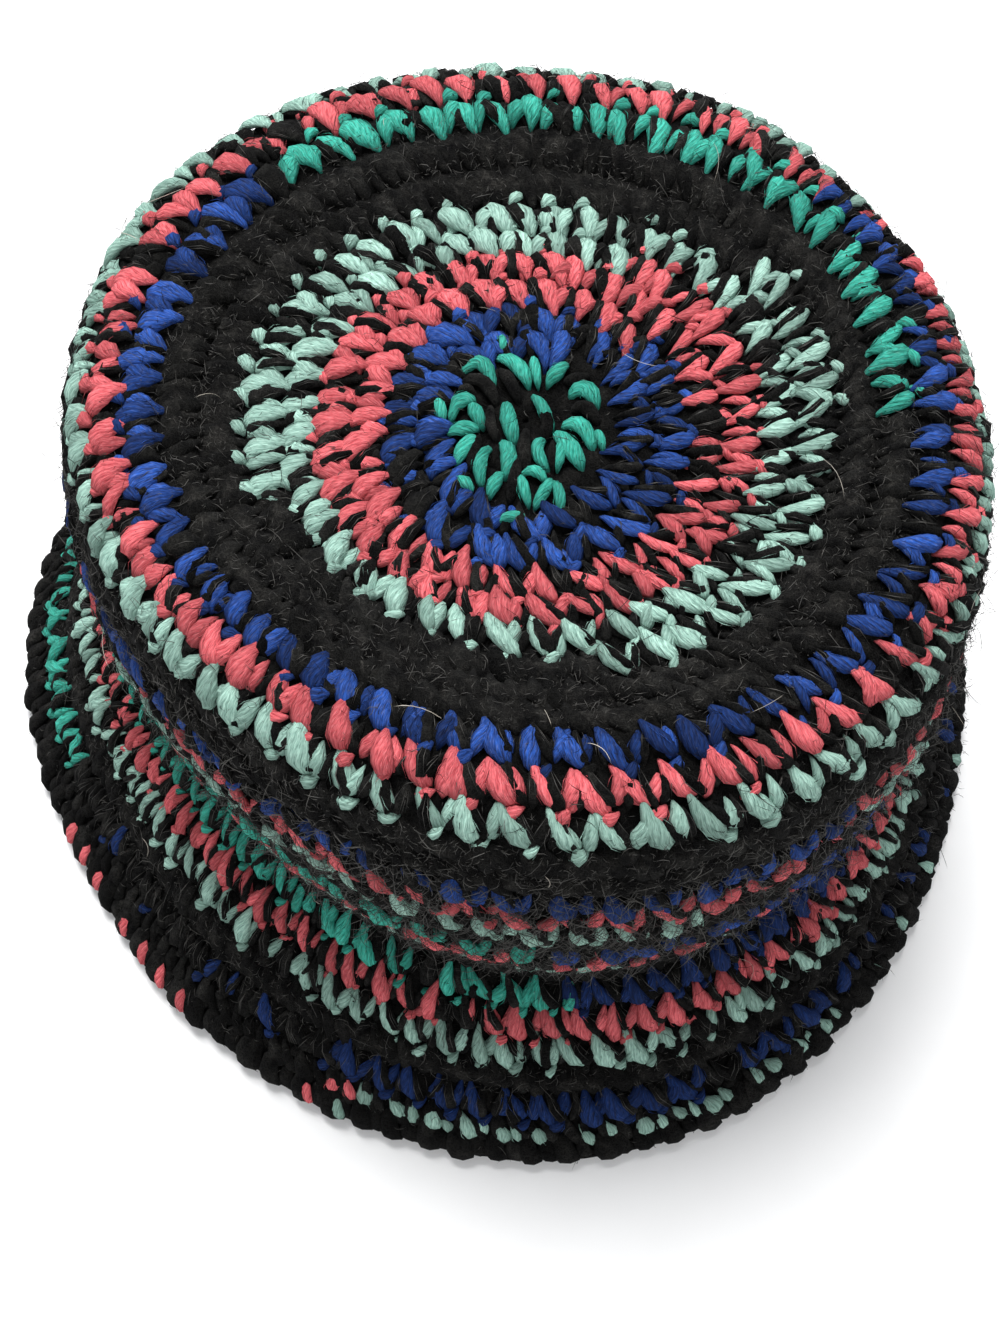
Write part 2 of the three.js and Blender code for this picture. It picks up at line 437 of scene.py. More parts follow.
def lay_strand(
    keys, width, thickness, rings, colour, stitch,
    shift=0.0, lower=0.0, lumps=0.06, wisps=0, roll=None, sides=6,
):
    """One strand at each of the stitches, where the key points say, with a hand's small slips. It
    is moved `shift` stitches along the row and `lower` mm into the fabric, and `roll` is the angle
    at which it starts round the strand it is twisted with."""
    count = len(stitch)
    path = curve_through(keys, rings)
    middle = path[rings // 2]
    pitch, row = PITCH[stitch, None], ROW[stitch, None]
    reach = row * (USUAL_ROW / row) ** KEPT_LENGTH
    angle = random.normal(0, TURN_SLIP, (count, 1))
    x = (path[:, 0] - middle[0]) * pitch
    y = (path[:, 1] - middle[1]) * reach * random.normal(STRETCH, LENGTH_SLIP, (count, 1))
    across = middle[0] + (x * np.cos(angle) - y * np.sin(angle)) / pitch
    along = middle[1] + (x * np.sin(angle) + y * np.cos(angle)) / row
    across = across + shift + random.normal(0, ACROSS_SLIP, (count, 1))
    along = along + random.normal(0, ALONG_SLIP, (count, 1))
    lift = path[:, 2] - lower + random.normal(0, LIFT_SLIP, (count, 1))
    if roll is not None:
        turned = roll[:, None] + ROLL_ALONG * np.linspace(0, 1, rings)
        across = across + APART * np.cos(turned) / pitch
        lift = lift + HEIGHT_APART * np.sin(turned)
    centre, normal = on_fabric(stitch[:, None], across, along, lift)
    fat = random.normal(1, WIDTH_SLIP, (count, 1)).clip(LEAST_WIDTH, MOST_WIDTH)
    fat = fat * (pitch / USUAL_PITCH).clip(0.5, 1.2) ** WIDTH_FOLLOWS
    half_width = width / 2 * fat * FULLNESS[stitch, None] * leaf(rings, blunt=0.75, lean=1.5)
    half_height = thickness / 2 * fat * leaf(rings, blunt=0.55, lean=1.35)
    lit = np.where((colour == BLUE) & (TURNS[stitch] > BRIM_FROM), BRIM_BLUE_LIT, 1.0)
    add_strands(centre, normal, half_width, half_height, sides, REGION[stitch], colour, lumps, lit)
    fibre = np.where(colour == BLACK, FUZZ, colour)
    for wisp in range(wisps):
        add_wisps(centre, normal, half_width, half_height, REGION[stitch], fibre)


# ---- the stitches' right side

# Key points of a stitch's strands: across in stitches, along in rows, lift in mm
LONG_ARM = [
    (0.05, -0.34, -2.3), (0.09, 0.03, 0.1), (0.21, 0.4, 0.4), (0.42, 0.73, 0.2), (0.65, 1.0, -2.2),
]
SHORT_ARM = [(0.79, -0.12, -2.3), (0.76, 0.22, -0.2), (0.7, 0.58, 0.0), (0.6, 0.97, -2.2)]
LEANING_ARM = [(1.04, -0.16, -2.3), (0.95, 0.18, -0.1), (0.83, 0.56, 0.1), (0.69, 0.97, -2.2)]
LOOP = [(0.74, 0.84, -2.2), (0.6, 0.99, -0.3), (0.46, 1.12, -0.4), (0.28, 1.3, -2.3)]
RIM_SPECK = [(0.1, 0.05, -2.0), (0.24, 0.3, 0.1), (0.38, 0.55, 0.1), (0.5, 0.84, -2.0)]
ARM_THICKNESS = 2.8
BLACK_THICKNESS = 2.7
MATTED_THICKNESS = 2.5
ROLL_SLIP = 0.55  # how much the two yarns' places round each other differ, in radians
SWAPPED_SHARE = 0.15  # of the arms, with the black yarn on the other side

# Chance that the changing yarn shows on each arm, where it isn't covered, and on the loop
LONG_ARM_SEEN = 0.96
SHORT_ARM_SEEN = 0.78
SHORT_ARM_SEEN_MORE = 0.14  # added at the front
LOOP_SEEN = 0.78

# The share of the brim's outer blue row that shows: the black yarn hides most of it at both sides
OUTER_BLUE_FROM = 28  # turn of the spiral
OUTER_BLUE_SEEN = np.array([
    # degrees, share
    (-80, 1), (-70, 0.35), (-22, 0.35), (-15, 1), (35, 1), (48, 0.25), (100, 0.25), (120, 1),
])

# The last rows, where the edging hides most of the changing yarn: chance of a speck
COVERED_FROM = 28.9  # turn of the spiral
SPECKS_SEEN = np.array([
    # from this turn on, chance
    (COVERED_FROM, 0.05), (29.58, 0.85), (29.76, 0.15),
])


def lay_pair(keys, stitch, shown, width, black_width, rings):
    """The two yarns of one arm, side by side and rolling over each other: the changing yarn where
    it is shown, and the black one everywhere."""
    roll = random.normal(math.pi, ROLL_SLIP, len(stitch))
    swapped = random.uniform(size=len(stitch)) < SWAPPED_SHARE
    roll = np.where(swapped, roll - math.pi, roll)
    changing = stitch[shown]
    lay_strand(
        keys, width, ARM_THICKNESS, rings, YARN[changing], changing, wisps=2, roll=roll[shown],
    )
    lay_strand(
        keys, width, ARM_THICKNESS, 5, BLACK, stitch[~shown],
        lower=0.1, lumps=0.12, wisps=2, roll=roll[~shown],
    )
    lay_strand(
        keys, black_width, BLACK_THICKNESS, 5, BLACK, stitch,
        lower=0.45 + 0.6 * LEFT_RIM[stitch, None], lumps=0.07, wisps=2, roll=roll + math.pi,
    )


def lay_arms(stitch, leaning):
    """The two arms and the loop of these stitches."""
    chance = random.uniform(size=(3, len(stitch)))
    degrees = (START_ANGLE[stitch] + 180) % 360 - 180
    outer_blue = (TURNS[stitch] > OUTER_BLUE_FROM) & (YARN[stitch] == BLUE)
    seen = np.where(outer_blue, np.interp(degrees, *OUTER_BLUE_SEEN.T), 1.0)
    lay_pair(LONG_ARM, stitch, chance[0] < LONG_ARM_SEEN * seen, 4.1, 2.6, 7)
    second = chance[1] < (SHORT_ARM_SEEN + SHORT_ARM_SEEN_MORE * FRONT[stitch]) * seen
    lay_pair(SHORT_ARM, stitch[~leaning], second[~leaning], 3.1, 2.1, 6)
    lay_pair(LEANING_ARM, stitch[leaning], second[leaning], 3.2, 2.1, 6)
    loop = chance[2] < LOOP_SEEN * seen
    lay_strand(LOOP, 2.7, ARM_THICKNESS, 6, YARN[stitch[loop]], stitch[loop], wisps=1)
    lay_strand(LOOP, 2.8, BLACK_THICKNESS, 5, BLACK, stitch[~loop], lower=0.3, lumps=0.12)


def right_side():
    """Both yarns of every stitch as they show outside."""
    every = np.arange(STITCHES)
    covered = TURNS > COVERED_FROM
    matted = (YARN == BLACK) | covered
    # The second arm leans on nearly half of the stitches, more in some stretches
    leaning = random.uniform(size=STITCHES) < 0.45 + 0.25 * np.sin(every / 5)
    open_rows = ~matted & (TURNS >= CHARTED_TURNS)
    lay_arms(every[open_rows], leaning[open_rows])
    black = every[matted]
    for width, rings, shift, lower in ((3.8, 6, 0.0, 0.6), (3.2, 5, 0.44, 0.75)):
        lay_strand(LONG_ARM, width, MATTED_THICKNESS, rings, BLACK, black, shift, lower, 0.16)
    chance = SPECKS_SEEN[np.searchsorted(SPECKS_SEEN[:, 0], TURNS, side="right") - 1, 1]
    for shift, width in ((0.0, 3.9), (0.42, 2.9)):
        specks = every[covered & (random.uniform(size=STITCHES) < chance)]
        lay_strand(RIM_SPECK, width, ARM_THICKNESS, 6, YARN[specks], specks, shift, wisps=1)


# ---- the first stitches

CHARTED_TURNS = 2  # turns of the spiral that the chart below stands for
CHARTED_ROW = 7.0  # from one round to the next there, in mm
CHARTED_RINGS = 8
TIP_DEPTH = 2.6  # how far a charted strand's tips lie under its top, in mm
TOP_SLIP = 0.15  # how much the height of its top differs

# The strands round the starting hole, charted: the start, middle and end of each, in mm to
# the right of the hole and behind it, and its width in mm
FIRST_TEAL = np.array([
    (-14.5, 9.5, -9.6, 12.8, -6.5, 5.5, 3.5),
    (-7, 15, -2, 12.3, 1, 6.5, 3.8),
    (-5.3, 20, -5, 18, -4.8, 15.5, 2.2),
    (1.5, 15, 2, 11.5, 2.8, 6.8, 2.4),
    (9.2, 13, 6.9, 10.5, 4.3, 7, 3.3),
    (8.8, 4, 12.6, 6.2, 15.6, 1, 4.2),
    (1, 5.3, 3.6, 1.3, 6, -4.5, 2.6),
    (7, -3.3, 11.4, -3.2, 14.5, -9.3, 4),
    (14.6, -4, 15.7, -6.5, 16.2, -9, 2),
    (5.7, -4, 8.8, -8, 12.2, -13.8, 4.2),
    (4.8, -5.3, 2.4, -9, 5.4, -14, 3.2),
    (7, -6.5, 7.2, -10, 6.4, -14, 2.6),
    (-1.5, -14.5, -0.5, -18, 0.8, -22.5, 2.6),
    (-1.2, -14.8, 2, -14.3, 4.4, -17, 2.4),
    (5.4, -15.5, 3.9, -19, 1.5, -23, 2.8),
    (5.4, -16, 6.9, -19.5, 7, -24.3, 2.7),
    (-4.2, 4, -3.5, -2, -1.9, -8, 3.8),
    (-16, -2.5, -13.9, 2.8, -10.2, 3, 3.4),
    (-12, 3.4, -10.4, 0, -8.8, -3.4, 3.2),
    (-17, -4.6, -13.2, -3.9, -9.5, -3.2, 3.4),
    (-19.2, 4, -18.2, 1.5, -17.4, -2, 2.8),
    (-10.4, -5, -12.7, -8.3, -14.9, -12.8, 3.3),
    (-5.8, -6, -3.5, -10, -4.6, -16, 3.9),
    (-6.6, -7.4, -9.4, -11.5, -8.8, -18.5, 3.2),
    (-4.7, -14, -6.3, -16.8, -7.7, -20.5, 3),
    (-14.4, -15.6, -12.8, -17, -11, -18.8, 2.6),
    (-6, -26, -3, -25.2, 0, -24.6, 2.4),
])
FIRST_BLACK = np.array([
    (-15, 6.5, -9.5, 8.3, -5.8, 1, 3.4),
    (-14.5, 5.2, -12.6, 6.2, -10.8, 4.8, 2),
    (-6, 12, -3.4, 8, -1.2, 2.5, 3),
    (9.5, 0.6, 12.6, 1.4, 16, -3.2, 3.4),
    (2, 2, 4.6, -1.6, 3.2, -7.5, 3),
    (5.8, -6, 5.5, -10, 5.7, -14, 1.8),
    (0.4, -2, -0.3, -9, 0.6, -15, 3),
    (-1.6, -9, -2.2, -15, -3.6, -22, 2.8),
    (-7.2, 3, -7.4, -2, -5.8, -7, 2.6),
    (-9.5, -4.5, -10.8, -9, -11.6, -14.5, 3),
    (8, 9, 10.5, 8.6, 14, 11, 2.8),
])


def near_middle(points, lift):
    """Points and outward directions at places in mm to the right of the middle and behind it."""
    rounds = np.hypot(points[..., 0], points[..., 1]) / CHARTED_ROW
    degrees = np.degrees(np.arctan2(points[..., 0], -points[..., 1]))
    return surface(rounds, degrees, lift - SINK)


def first_stitches():
    """The charted strands round the starting hole."""
    step = np.linspace(0, 1, CHARTED_RINGS)[:, None]
    for chart, colour, top, wisps in ((FIRST_TEAL, "teal", 0.5, 2), (FIRST_BLACK, "black", 0.3, 0)):
        start, middle, end, width = np.split(chart[:, None], (2, 4, 6), axis=2)
        path = start * (1 - step) * (1 - 2 * step) + middle * 4 * step * (1 - step)
        path = path + end * step * (2 * step - 1)
        lift = top - TIP_DEPTH * (2 * step[:, 0] - 1) ** 4
        lift = lift + random.normal(0, TOP_SLIP, (len(chart), 1))
        centre, normal = near_middle(path, lift)
        half_width = width[:, 0] / 2 * leaf(CHARTED_RINGS, blunt=0.6, lean=1.1)
        half_height = ARM_THICKNESS / 2 * leaf(CHARTED_RINGS, blunt=0.5, lean=1.1)
        half_height = np.broadcast_to(half_height, half_width.shape)
        number = YARNS.index(colour)
        add_strands(centre, normal, half_width, half_height, 7, 0, number, 0.06)
        for wisp in range(wisps):
            add_wisps(centre, normal, half_width, half_height, 0, number)


# ---- the wrong side, inside

BACK_BAR = [(-0.08, 0.72, -3.3), (0.3, 0.8, -4.4), (0.7, 0.82, -4.4), (1.08, 0.74, -3.3)]
BACK_LEG = [(0.28, 0.08, -3.2), (0.4, 0.35, -4.2), (0.5, 0.75, -3.4)]
BACK_LAST_TURN = 29.3  # the edging covers the wrong side past this turn
BARS_COLOURED = 0.6  # share of the bars in the changing yarn


def wrong_side():
    """The bar that each stitch leaves on the inside, and the leg under it."""
    inside = np.flatnonzero(TURNS < BACK_LAST_TURN)
    bars_coloured = random.uniform(size=len(inside)) < BARS_COLOURED
    bar_colour = np.where(bars_coloured, YARN[inside], BLACK)
    leg_colour = np.where(bars_coloured, BLACK, YARN[inside])
    lay_strand(BACK_BAR, 2.8, 2.0, 4, bar_colour, inside, sides=5)
    lay_strand(BACK_LEG, 2.9, 1.9, 4, leg_colour, inside, sides=4)


# ---- the edging

SCALLOPS = 98  # round the rim of the brim
EDGE_ROUND = 29.1  # the middle of the cord that the edging makes,
EDGE_DEPTH = 3.6  # and its depth under the outer face, in mm
EDGE_SIDES = 7
EDGE_SLIP = 0.05  # how far a loop is out of place, in scallops
EDGE_SKEW = 0.2  # and how far its ends lie to either side of its middle
REACH_SLIP = 0.25  # how much the loops' reach differs, in mm
REACH_BACK = 1.6  # how much further they reach back over the brim than out, in mm
REACH_DOWN = 1.5  # how far down, in mm
REACH_UP = 0.78  # how far up, as a share of how far out
FAT_SLIP = 0.1  # how much fatter they are, as a share
SPECK_CHANCE = 0.8
SPECKED = (-68, -16)  # the stretch of the rim that has coloured specks, in degrees

# A scallop's two loops, and a speck: place in it, width, thickness, reach from the cord's middle, and
# the angles at which each starts above the brim and ends
EDGE_LOOPS = [(0.0, 5.8, 3.0, 3.6, 152, -112), (0.5, 4.8, 2.7, 2.7, 150, -112)]
EDGE_SPECK = (0.27, 3.2, 2.4, 4.0, 118, 30)


def edge_loops(chosen, across, width, thickness, reach, start, end, rings, colour):
    """A loop over the rim at each chosen scallop, as an arch from above the brim to below it."""
    count = len(chosen)
    turn_over = np.radians(np.linspace(start, end, rings))[None]
    slip = random.normal(0, EDGE_SLIP, (count, 1))
    skew = np.linspace(-EDGE_SKEW, EDGE_SKEW, rings)[None]
    degrees = (chosen[:, None] + across + slip + skew) * 360 / SCALLOPS
    rounds = np.full_like(degrees, EDGE_ROUND)
    middle, up = surface(rounds, degrees, -EDGE_DEPTH)
    ahead = place(rounds + 0.2, degrees, -EDGE_DEPTH)
    out = unit(ahead - place(rounds - 0.2, degrees, -EDGE_DEPTH))
    reach = reach + random.normal(0, REACH_SLIP, (count, 1))
    forward = np.where(np.cos(turn_over) < 0, reach + REACH_BACK, reach) * np.cos(turn_over)
    height = np.where(turn_over > 0, REACH_UP * reach, REACH_DOWN) * np.sin(turn_over)
    centre = middle + out * forward[..., None] + up * height[..., None]
    normal = unit(out * np.cos(turn_over)[..., None] + up * np.sin(turn_over)[..., None])
    fat = random.normal(1, FAT_SLIP, (count, 1)).clip(0.75, 1.25)
    half_width = width / 2 * fat * leaf(rings, blunt=0.3, lean=1.0)
    half_height = thickness / 2 * fat * leaf(rings, blunt=0.3, lean=1.0)
    add_strands(centre, normal, half_width, half_height, EDGE_SIDES, EDGING, colour, lumps=0.04)
    add_wisps(centre, normal, half_width, half_height, EDGING, colour)


def edging():
    """Fat black loops over the rim of the brim, two to a scallop, and the odd coloured speck."""
    every = np.arange(SCALLOPS)
    for loop in EDGE_LOOPS:
        edge_loops(every, *loop, 10, BLACK)
    degrees = (every * 360 / SCALLOPS + 180) % 360 - 180
    specked = (degrees > SPECKED[0]) & (degrees < SPECKED[1])
    specks = every[specked & (random.uniform(size=SCALLOPS) < SPECK_CHANCE)]
    turn = LAST_TURN - 1 + (specks * 360 / SCALLOPS - FIRST_ANGLE) / 360 % 1
    edge_loops(specks, *EDGE_SPECK, 6, yarn_at(turn))


# ---- the felted ground under the strands

GROUND_FACETS = 330
GROUND_STEPS = 4  # rows of points to a round on its outer face, for one on its inner face
GROUND_INNER = -4.8  # how deep the inner face lies, in mm
INNER_LIGHT = 0.5
BLACK_VALLEY, BLACK_RIDGE = -1.9, 2.25  # a black row's lowest lift and the rise from it, in mm
COLOUR_VALLEY, COLOUR_RIDGE = -2.0, 0.9  # and a coloured row's


def stitch_at(rounds, degrees):
    """The turn at which the row over each place starts there, how far down that row the place is,
    and how far along its stitch."""
    turn = rounds
    for step in range(8):
        turn = np.interp(rounds - drift(turn, degrees), *TURNS_TO_ROUNDS.T[::-1])
    part = (degrees - FIRST_ANGLE) / 360 % 1
    start = np.maximum(np.floor(turn - part) + part, 0)
    across = np.interp(start, TURNS, np.arange(STITCHES)) % 1
    return start, np.clip(turn - start, 0, 1), across


def matted_surface(rounds, degrees):
    """How high the matted yarn stands over each place, and how light it is painted: a soft ridge
    along each row, a bulge at each stitch, and a valley between rows. That lightness is painted
    light and shade: lighter ridges and bulges, darker valleys, darker under coloured rows."""
    start, along, across = stitch_at(rounds, degrees)
    ridge = np.sin(np.pi * along) ** 0.7
    bulge = 0.35 * ridge * (0.5 + 0.5 * np.cos(2 * np.pi * (across - 0.55 * along - 0.1)))
    rough = slips(*np.shape(along))
    black = yarn_at(start) == BLACK
    height = np.where(black, BLACK_VALLEY + BLACK_RIDGE * ridge, COLOUR_VALLEY + COLOUR_RIDGE * ridge)
    height = height + bulge + 0.12 * rough
    # Painted light and shade: lighter ridges and bulges, darker valleys, and random roughness
    light = 0.02 + 0.6 * ridge + bulge + 0.1 * rough
    # Painted shade under the coloured rows' strands: the ground there is darker
    light = np.clip(np.where(black, light, 0.4 * light), 0, 1)
    return height, light


def ground(region):
    """The closed band of matted yarn under one region's strands: points, triangles and light, which on
    its outer face is painted light and shade.
    """
    name, start = REGIONS[region]
    end = LAST_ROUND if region == EDGING else REGION_STARTS[region + 1]
    outer_steps = max(3, round((end - start) * GROUND_STEPS))
    inner_steps = max(2, round(end - start))
    outer = np.linspace(max(start, INNERMOST), end, outer_steps + 1)
    inner = np.linspace(end, max(start, INNERMOST), inner_steps + 1)
    rounds = np.concatenate([outer, inner])[:, None]
    degrees = np.arange(GROUND_FACETS)[None] * 360 / GROUND_FACETS
    rounds, degrees = np.broadcast_arrays(rounds, degrees)
    lift = np.full(rounds.shape, GROUND_INNER)
    light = np.full(rounds.shape, INNER_LIGHT)
    top = slice(0, len(outer))
    # The outer face's tone is its painted light and shade
    height, light[top] = matted_surface(rounds[top], degrees[top])
    lift[top] = height - SINK
    points = place(rounds, degrees, lift)
    a = np.arange(rounds.size).reshape(rounds.shape)
    b, d = np.roll(a, -1, axis=1), np.roll(a, -1, axis=0)
    c = np.roll(b, -1, axis=0)
    faces = np.concatenate([np.stack([a, d, c], -1), np.stack([a, c, b], -1)]).reshape(-1, 3)
    return points.reshape(-1, 3), faces, light.ravel()


# ---- fuzz and stray hairs

STRAY_HAIRS = 50
STRAY_LENGTHS = (4, 13)  # in mm
STRAY_RADIUS = (0.05, 0.075)
STRAY_LIFT = 2.0
STRAY_STEEP = 0.05

# The fuzz: how many fibres, their usual length in mm, how steeply they stand, rings to each, and how
# many grow on the black rows for one on a coloured row
FIBRES = [(45000, 1.8, 0.35, 3, 2.2), (9000, 3.6, 0.3, 4, 2.5)]
FUZZ_LENGTHS = (0.8, 8)  # the shortest and the longest, in mm
FUZZ_LIFT = (-0.2, 1.3)  # where the fibres start, in mm out of the fabric,
FUZZ_LOWER = 0.5  # and how much lower they start on the black rows
HAIR_RADIUS = (0.05, 0.085)  # in mm
SIDE_FUZZ = 1.6  # how much more of it the side has
DARK_SHARE = 0.75  # share of the fibres over the colours that are black

# The loose haze under the front of the overhang
HAZE_FIBRES = 2400
HAZE_SPREAD = 28  # in degrees
HAZE_ROUNDS = (14.0, 19.5)
HAZE_LIFT = (-0.5, 1.0)
HAZE_LENGTHS = (2, 9)
HAZE_STEEP = 0.45


def add_fibres(root, normal, length, radius, steep, rings, region, colour):
    """Thin three-sided hairs that leave the surface every way and bend. `steep` is how far they
    stand up: 0 is flat, and 1 is halfway up."""
    count = len(root)
    sideways = unit(np.cross(normal, unit(random.normal(size=(count, 3)))))
    direction = unit(sideways + normal * random.normal(steep, 0.3, (count, 1)))
    bend = np.cross(direction, normal) * random.normal(0, 0.35, (count, 1))
    bend = (bend + normal * random.normal(0.1, 0.15, (count, 1))) * length[:, None]
    steps = np.linspace(0, 1, rings)[None, :, None]
    centre = root[:, None] + direction[:, None] * length[:, None, None] * steps
    centre = centre + bend[:, None] * steps * (1 - steps) * 2
    width = radius[:, None] * np.array([0, *[1] * (rings - 2), 0])
    add_strands(centre, np.repeat(normal[:, None], rings, 1), width, width, 3, region, colour)


def fuzz():
    """Short hairs all over the outside: grey on the black rows, a painted sheen on black fibres, and
    mostly black over the colours.
    """
    black = YARN == BLACK
    side = np.isin(np.array(REGION_NAMES)[REGION], ["crown_rim", "crown_side"])
    area = PITCH * ROW * np.where(side, SIDE_FUZZ, 1.0)
    for count, size, steep, rings, denser in FIBRES:
        weight = area * np.where(black, denser, 1.0)
        stitch = random.choice(STITCHES, count, p=weight / weight.sum())
        across = random.uniform(0, 1, count)
        along = random.uniform(0, 1.05, count)
        lift = random.uniform(*FUZZ_LIFT, count) - np.where(black[stitch], FUZZ_LOWER, 0.0)
        root, normal = on_fabric(stitch, across, along, lift)
        length = random.gamma(4.0, size / 4, count).clip(*FUZZ_LENGTHS)
        radius = random.uniform(*HAIR_RADIUS, count)
        dark = (random.uniform(size=count) < DARK_SHARE) & ~black[stitch]
        colour = np.where(dark, BLACK, FUZZ)
        add_fibres(root, normal, length, radius, steep, rings, REGION[stitch], colour)


def haze():
    """Longer fibres that stand off the side under the overhang of the top, at the front."""
    degrees = random.normal(0, HAZE_SPREAD, HAZE_FIBRES)
    rounds = random.uniform(*HAZE_ROUNDS, HAZE_FIBRES)
    lift = random.uniform(*HAZE_LIFT, HAZE_FIBRES)
    root, normal = surface(rounds, degrees, lift)
    length = random.gamma(5.0, 1.0, HAZE_FIBRES).clip(*HAZE_LENGTHS)
    radius = random.uniform(*HAIR_RADIUS, HAZE_FIBRES)
    add_fibres(root, normal, length, radius, HAZE_STEEP, 4, region_of(rounds), FUZZ)


def stray_hairs():
    """A few long pale hairs lying across the fabric, as a batch of their own."""
    stitch = random.integers(0, STITCHES, STRAY_HAIRS)
    root, normal = on_fabric(stitch, 0.5, 0.5, STRAY_LIFT)
    length = random.uniform(*STRAY_LENGTHS, STRAY_HAIRS)
    radius = random.uniform(*STRAY_RADIUS, STRAY_HAIRS)
    add_fibres(root, normal, length, radius, STRAY_STEEP, 7, 0, 0)
    return strands.pop()


# ---- materials


class Paint:
    """A new material with its Principled shader, and short calls to add nodes to it."""

    def __init__(self, name, inputs):
        self.material = bpy.data.materials.new(name)
        self.material.use_nodes = True
        self.tree = self.material.node_tree
        self.shader = self.tree.nodes["Principled BSDF"]
        for socket, value in inputs.items():
            self.shader.inputs[socket].default_value = value

    def node(self, kind, inputs, **settings):
        """A new node with these settings, and with its inputs linked or given a value."""
        made = self.tree.nodes.new("ShaderNode" + kind)
        for setting, value in settings.items():
            setattr(made, setting, value)
        for socket, value in inputs.items():
            if isinstance(value, bpy.types.NodeSocket):
                self.tree.links.new(value, made.inputs[socket])
            else:
                made.inputs[socket].default_value = value
        return made

    def link(self, output, socket):
        """Links an output to the shader."""
        self.tree.links.new(output, self.shader.inputs[socket])

    def bump(self, height, depth):
        """Fine relief of about this depth, in metres."""
        made = self.node("Bump", {"Height": height, "Strength": 0.8, "Distance": depth})
        self.link(made.outputs[0], "Normal")


def noise(paint, vector, scale, detail=3.0, dimensions="3D"):
    """A noise pattern's value over this vector."""
    inputs = {"Vector": vector, "Scale": scale, "Detail": detail}
    return paint.node("TexNoise", inputs, noise_dimensions=dimensions).outputs["Fac"]


def mix_colours(paint, share, low, high, blend="MIX"):
    """One colour passing into another, or blended with it."""
    inputs = {0: share, 6: low, 7: high}
    return paint.node("Mix", inputs, data_type="RGBA", blend_type=blend).outputs[2]


def remap(paint, value, low, high, to_low, to_high):
    """A value's range stretched onto another."""
    inputs = {0: value, 1: low, 2: high, 3: to_low, 4: to_high}
    return paint.node("MapRange", inputs).outputs[0]


def combine(paint, operation, first, second=0.0):
    """Two values put together by a sum, a product or the like."""
    return paint.node("Math", {0: first, 1: second}, operation=operation).outputs[0]


def colour_by_tone(paint, colour, low, high):
    """Gives the shader this colour, made darker or lighter by each strand's own tone, or on the ground
    by its painted light and shade.
    """
    tone = paint.node("Attribute", {}, attribute_name="tone").outputs["Fac"]
    value = remap(paint, tone, 0.0, 1.0, low, high)
    toned = paint.node("HueSaturation", {"Value": value, "Color": colour})
    paint.link(toned.outputs[0], "Base Color")


PLY = 1.25  # width of one ply of the twisted yarn, in mm
YARN_BUMP = 0.0004  # depth of the fibres' fine relief, in metres
MATTED_BUMP = 0.0007


def yarn_paint(name, deep, fair, sheen, fuzzy, dim=0.68):
    """Twisted yarn: plies round the strand, and fibres from its deep tone to its fair one, with painted
    shade in the grooves between the plies. `fuzzy` is how pale the palest fibres are, and `dim` how
    bright the darkest strands are."""
    shine = {"Specular IOR Level": 0.12, "Sheen Weight": sheen, "Sheen Roughness": 0.45}
    paint = Paint(name, {"Roughness": 0.85, "Sheen Tint": (*fair, 1), **shine})
    strand = paint.node("UVMap", {}, uv_map="Strand").outputs["UV"]
    fibres = paint.node("Mapping", {"Vector": strand, "Scale": (0.4, 2.6, 1)}).outputs[0]
    hairs = paint.node("Mapping", {"Vector": strand, "Scale": (0.9, 8.0, 1)}).outputs[0]
    coarse = noise(paint, fibres, 1.0, 2.0, "2D")
    fine = noise(paint, hairs, 1.0, 3.0, "2D")
    around = paint.node("SeparateXYZ", {"Vector": strand}).outputs["Y"]
    wandering = combine(paint, "ADD", around, combine(paint, "MULTIPLY", coarse, 0.8))
    wave = combine(paint, "SINE", combine(paint, "MULTIPLY", wandering, 2 * math.pi / PLY))
    uneven = remap(paint, coarse, 0.3, 0.7, 0.0, 0.75)
    # Painted shade: darker in the grooves between plies, with random patches
    patches_and_groove_shade = combine(paint, "ADD", uneven, remap(paint, wave, -1, 1, 0, 0.3))
    colour = mix_colours(paint, patches_and_groove_shade, (*deep, 1), (*fair, 1))
    pale = remap(paint, fine, 0.5, 0.78, 0.0, fuzzy)
    colour = mix_colours(paint, pale, colour, (1.0, 1.0, 1.0, 1), "SCREEN")
    dark = remap(paint, fine, 0.3, 0.46, 0.5, 0.0)
    colour = mix_colours(paint, dark, colour, (0.01, 0.01, 0.01, 1))
    colour_by_tone(paint, colour, dim, 1.1)
    rough = combine(paint, "ADD", coarse, fine)
    height = combine(paint, "ADD", rough, remap(paint, wave, -1, 1, 0, 0.5))
    paint.bump(height, YARN_BUMP)
    return paint.material


def fibre_lines(paint, vector, stretch, scale, width):
    """Thin winding lines, where a stretched noise passes through its middle."""
    stretched = paint.node("Mapping", {"Vector": vector, "Scale": stretch}).outputs[0]
    value = noise(paint, stretched, scale, 1.5)
    away = combine(paint, "ABSOLUTE", combine(paint, "SUBTRACT", value, 0.5))
    return remap(paint, away, 0.0, width, 1.0, 0.0)


